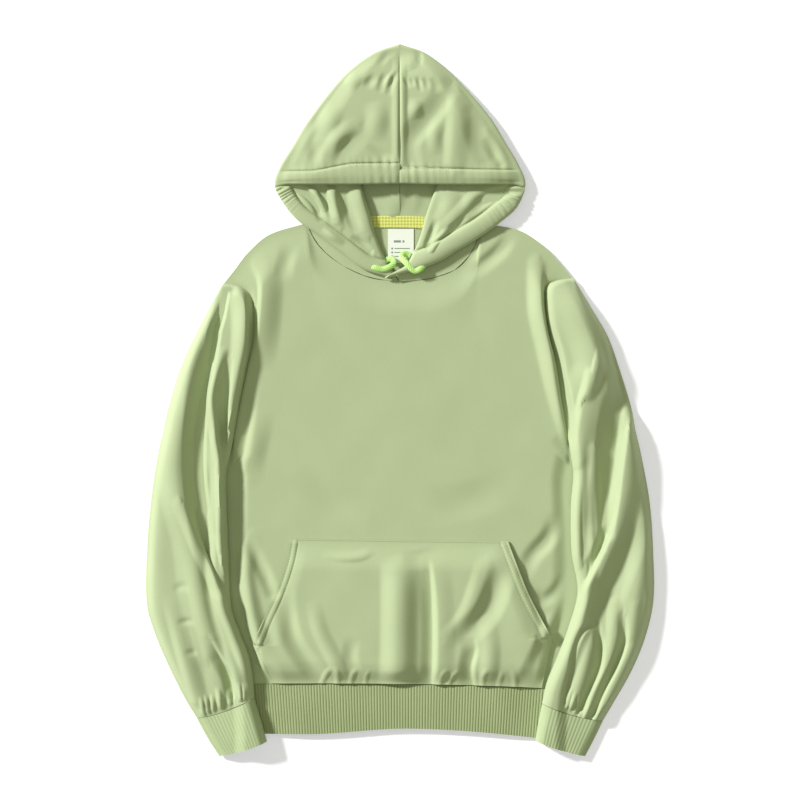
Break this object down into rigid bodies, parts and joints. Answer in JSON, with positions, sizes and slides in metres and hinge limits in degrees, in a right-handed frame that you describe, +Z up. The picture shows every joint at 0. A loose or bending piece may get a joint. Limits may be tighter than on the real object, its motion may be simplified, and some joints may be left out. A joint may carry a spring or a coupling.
{
  "type": "pullover hoodie",
  "caption": "Pullover hoodie with a hood, kangaroo pocket, ribbed cuffs and hem and a drawstring, laid flat with its front up.",
  "frame": {"origin": "centre of the laid-out garment in plan, on the surface it lies on", "axes": "+X to the viewer's right of the garment seen from above, +Y from the hem to the hood, +Z up off the surface, the front of the garment facing +Z"},
  "size_m": [0.6872, 0.963, 0.0313],
  "materials": {
    "fleece": "matte",
    "rib": "matte",
    "tape": "matte",
    "label": "satin",
    "drawstring": "matte"
  },
  "bodies": {
    "root": {"body_back": "fleece", "body_front": "fleece", "sleeve_left": "fleece", "sleeve_right": "fleece", "cuff_left": "rib", "cuff_right": "rib", "hem_rib": "rib", "hood_left": "fleece", "hood_right": "fleece", "pocket": "fleece", "neck_tape": "tape", "neck_label": "label", "drawstring_left": "drawstring", "drawstring_right": "drawstring"}
  },
  "joints": []
}
